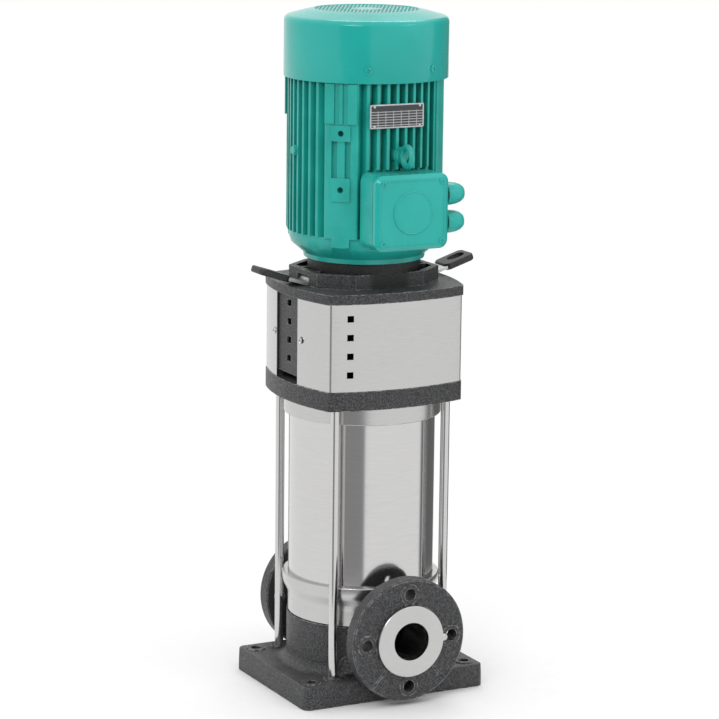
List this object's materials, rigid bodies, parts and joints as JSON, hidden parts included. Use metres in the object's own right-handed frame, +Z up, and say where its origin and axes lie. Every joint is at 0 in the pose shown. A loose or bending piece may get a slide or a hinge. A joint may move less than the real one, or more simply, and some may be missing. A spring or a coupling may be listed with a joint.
{
  "type": "vertical multistage pump",
  "caption": "Vertical multistage in-line pump: cast foot, stainless stage housing, coupling lantern with guards and a finned flange motor on top.",
  "frame": {"origin": "on the shaft axis, at the underside of the base plate", "axes": "+Z up along the shaft, -Y towards the inlet port and the terminal box, +X towards the cable glands"},
  "size_m": [0.3186, 0.3, 0.909],
  "materials": {
    "cast_iron_dark": "cathodic dip coated, semi-matt, fine cast texture",
    "stainless_brushed": "pickled and brushed",
    "stainless_polished": "polished",
    "stainless_inner": "pressed, as drawn",
    "elastomer": "matt",
    "carbide": "lapped silicon carbide",
    "zinc_steel": "bright zinc",
    "steel_machined": "machined",
    "copper_winding": "varnished copper",
    "paint_teal": "semi-gloss enamel",
    "plastic_teal": "painted over with the motor",
    "plastic_black": "moulded, fine grain",
    "plastic_grey": "moulded",
    "nameplate_metal": "etched"
  },
  "bodies": {
    "root": {"pump_foot": "cast_iron_dark", "lower_housing": "stainless_brushed", "port_collars": "stainless_brushed", "inlet_flange": "cast_iron_dark", "outlet_flange": "cast_iron_dark", "outer_sleeve": "stainless_polished", "pump_head": "stainless_brushed", "seal_rings": "elastomer", "suction_cup": "stainless_inner", "bearing_bush": "carbide", "stage_casings": "stainless_inner", "seal_chamber": "stainless_inner", "seal_plate": "stainless_inner", "seal_seat": "carbide", "tie_rods": "stainless_polished", "rod_washers": "zinc_steel", "rod_nuts": "zinc_steel", "vent_plug": "zinc_steel", "drain_plug": "zinc_steel", "lantern": "cast_iron_dark", "front_guard": "stainless_brushed", "rear_guard": "stainless_brushed", "guard_screws": "zinc_steel", "handle_pins": "zinc_steel", "motor_flange": "paint_teal", "motor_bolts": "zinc_steel", "stator_frame": "paint_teal", "stator_core": "steel_machined", "windings": "copper_winding", "lower_bearing": "steel_machined", "upper_bearing": "steel_machined", "upper_shield": "paint_teal", "fan_cover": "paint_teal", "cover_screws": "zinc_steel", "terminal_box": "paint_teal", "terminal_gasket": "elastomer", "terminal_lid": "paint_teal", "lid_screws": "paint_teal", "terminal_block": "plastic_black", "cable_glands": "plastic_teal", "eye_bolt": "paint_teal", "nameplate": "nameplate_metal", "nameplate_rivets": "zinc_steel", "earth_screw": "paint_teal"},
    "rotor": {"pump_shaft": "stainless_inner", "impellers": "stainless_inner", "spacer_sleeves": "stainless_inner", "shaft_nut": "stainless_inner", "seal_head": "carbide", "coupling_half_front": "steel_machined", "coupling_half_rear": "steel_machined", "coupling_bolts": "zinc_steel", "motor_shaft": "steel_machined", "rotor_core": "steel_machined", "fan": "plastic_grey"},
    "left_handle": {"left_handle_strap": "zinc_steel", "left_handle_grip": "plastic_black"},
    "right_handle": {"right_handle_strap": "zinc_steel", "right_handle_grip": "plastic_black"}
  },
  "joints": [
    {"name": "rotor_spin", "type": "hinge", "parent": "root", "child": "rotor", "pos_m": [0, 0, 0.3], "axis": [0, 0, 1], "continuous": true},
    {"name": "left_handle_lift", "type": "hinge", "parent": "root", "child": "left_handle", "pos_m": [-0.081, 0, 0.5558], "axis": [0, 1, 0], "range_deg": [0, 30]},
    {"name": "right_handle_lift", "type": "hinge", "parent": "root", "child": "right_handle", "pos_m": [0.081, 0, 0.5558], "axis": [0, -1, 0], "range_deg": [0, 30]}
  ]
}
